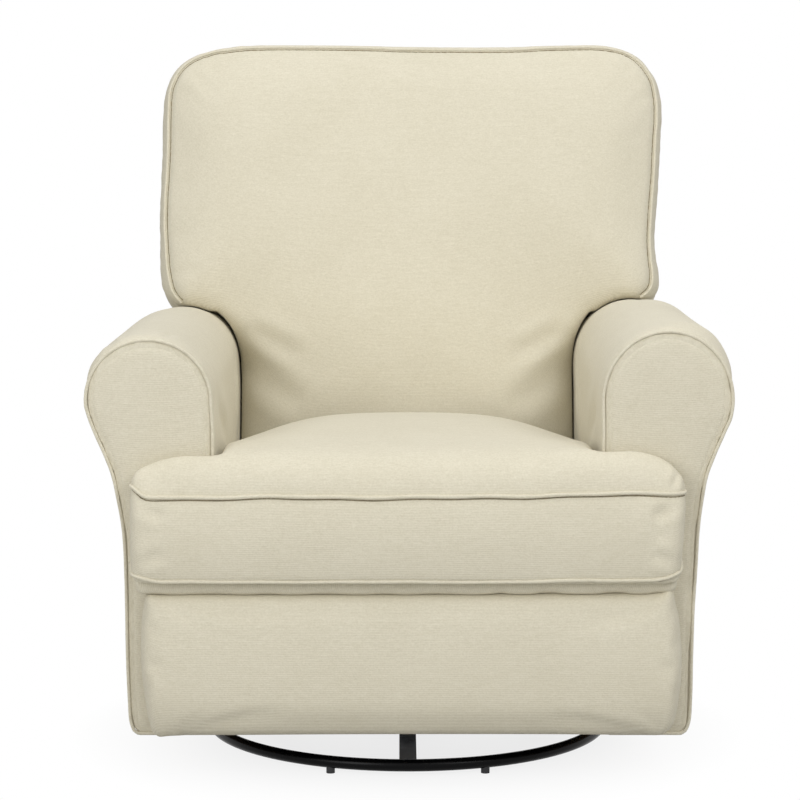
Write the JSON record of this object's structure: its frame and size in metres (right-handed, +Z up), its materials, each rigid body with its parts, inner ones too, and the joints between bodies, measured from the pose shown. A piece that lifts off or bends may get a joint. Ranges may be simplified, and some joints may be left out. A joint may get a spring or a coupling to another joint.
{
  "type": "glider recliner chair",
  "caption": "Upholstered nursery armchair on a round swivel base: it turns, glides on swing links, reclines and lifts a padded footrest.",
  "frame": {"origin": "on the floor under the middle of the chair's outer box", "axes": "+Z up, -Y the way the sitter faces, +X the left-hand side of the sitter"},
  "size_m": [0.88, 0.9131, 1.0218],
  "materials": {
    "black_steel_tube": "gloss black powder coat",
    "glide_nylon": "moulded nylon",
    "bearing_steel": "zinc plated",
    "stamped_steel": "black paint",
    "stop_rubber": "moulded",
    "frame_wood": "unfinished birch plywood",
    "spring_wire": "oiled wire",
    "ivory_fabric": "fine linen-like weave"
  },
  "bodies": {
    "base": {"base_ring": "black_steel_tube", "base_spokes": "black_steel_tube", "floor_glides": "glide_nylon", "swivel_lower_plate": "bearing_steel", "swivel_balls": "bearing_steel", "swivel_bolt": "bearing_steel"},
    "cradle": {"swivel_upper_plate": "bearing_steel", "glider_stand_left": "stamped_steel", "glider_stand_right": "stamped_steel", "stand_tie_tube": "stamped_steel", "swing_upper_pins": "bearing_steel", "glide_stops": "stop_rubber"},
    "front_links": {"front_swing_links": "stamped_steel"},
    "rear_links": {"rear_swing_links": "stamped_steel"},
    "seat": {"carriage_plate_left": "stamped_steel", "carriage_plate_right": "stamped_steel", "swing_lower_pins": "bearing_steel", "front_cross_rail": "stamped_steel", "rear_cross_rail": "stamped_steel", "mechanism_plate_left": "stamped_steel", "mechanism_plate_right": "stamped_steel", "seat_side_rails": "frame_wood", "seat_front_rail": "frame_wood", "seat_rear_rail": "frame_wood", "seat_springs": "spring_wire", "front_border": "ivory_fabric", "seat_cushion": "ivory_fabric", "arm_cover_left": "ivory_fabric", "arm_cover_right": "ivory_fabric", "arm_front_panel_left": "ivory_fabric", "arm_front_panel_right": "ivory_fabric", "arm_rear_panels": "ivory_fabric", "arm_frame_left": "frame_wood", "arm_frame_right": "frame_wood", "rear_apron": "ivory_fabric", "footrest_mount_rivets": "bearing_steel", "recline_pins": "bearing_steel"},
    "back": {"back_stile_left": "frame_wood", "back_stile_right": "frame_wood", "back_wing_posts": "frame_wood", "back_top_rail": "frame_wood", "back_middle_rail": "frame_wood", "back_bottom_rail": "frame_wood", "back_springs": "spring_wire", "recline_brackets": "stamped_steel", "back_cushion": "ivory_fabric", "back_rear_cover": "ivory_fabric"},
    "drive": {"footrest_drive_links": "stamped_steel", "drive_link_rivets": "bearing_steel"},
    "rear_rest": {"footrest_rear_links": "stamped_steel", "rear_link_rivets": "bearing_steel"},
    "carrier": {"footrest_carrier_links": "stamped_steel", "carrier_link_rivets": "bearing_steel", "carrier_cross_tube": "stamped_steel"},
    "front_rest": {"footrest_front_links": "stamped_steel"},
    "footrest": {"footrest_brackets": "stamped_steel", "footrest_board": "frame_wood", "footrest_pad": "ivory_fabric", "footrest_bracket_rivets": "bearing_steel"}
  },
  "joints": [
    {"name": "swivel", "type": "hinge", "parent": "base", "child": "cradle", "pos_m": [0, -0.09, 0], "axis": [0, 0, 1], "continuous": true},
    {"name": "glide", "type": "hinge", "parent": "cradle", "child": "front_links", "pos_m": [0, -0.185, 0.23], "axis": [1, 0, 0], "range_deg": [-30, 30]},
    {"name": "rear_link_swing", "type": "hinge", "parent": "cradle", "child": "rear_links", "pos_m": [0, 0.005, 0.23], "axis": [1, 0, 0], "range_deg": [-30, 30]},
    {"name": "seat_hang", "type": "hinge", "parent": "front_links", "child": "seat", "pos_m": [0, -0.185, 0.11], "axis": [1, 0, 0], "range_deg": [-30, 30]},
    {"name": "recline", "type": "hinge", "parent": "seat", "child": "back", "pos_m": [0, 0.174, 0.3], "axis": [-1, 0, 0], "range_deg": [0, 35]},
    {"name": "footrest_lift", "type": "hinge", "parent": "seat", "child": "drive", "pos_m": [0, -0.341, 0.248], "axis": [-1, 0, 0], "range_deg": [0, 88]},
    {"name": "rear_rest_swing", "type": "hinge", "parent": "seat", "child": "rear_rest", "pos_m": [0, -0.279, 0.248], "axis": [-1, 0, 0], "range_deg": [0, 88]},
    {"name": "carrier_pivot", "type": "hinge", "parent": "drive", "child": "carrier", "pos_m": [0, -0.307, 0.103], "axis": [-1, 0, 0], "range_deg": [-88, 0]},
    {"name": "front_rest_pivot", "type": "hinge", "parent": "drive", "child": "front_rest", "pos_m": [0, -0.29738, 0.06196], "axis": [-1, 0, 0], "range_deg": [-88, 0]},
    {"name": "footrest_tilt", "type": "hinge", "parent": "carrier", "child": "footrest", "pos_m": [0, -0.387, 0.246], "axis": [-1, 0, 0], "range_deg": [0, 88]}
  ],
  "couplings": [
    {"joint": "rear_link_swing", "follows": "glide", "ratio": 1},
    {"joint": "seat_hang", "follows": "glide", "ratio": -1},
    {"joint": "rear_rest_swing", "follows": "footrest_lift", "ratio": 1},
    {"joint": "carrier_pivot", "follows": "footrest_lift", "ratio": -1},
    {"joint": "front_rest_pivot", "follows": "footrest_lift", "ratio": -1},
    {"joint": "footrest_tilt", "follows": "footrest_lift", "ratio": 1}
  ]
}
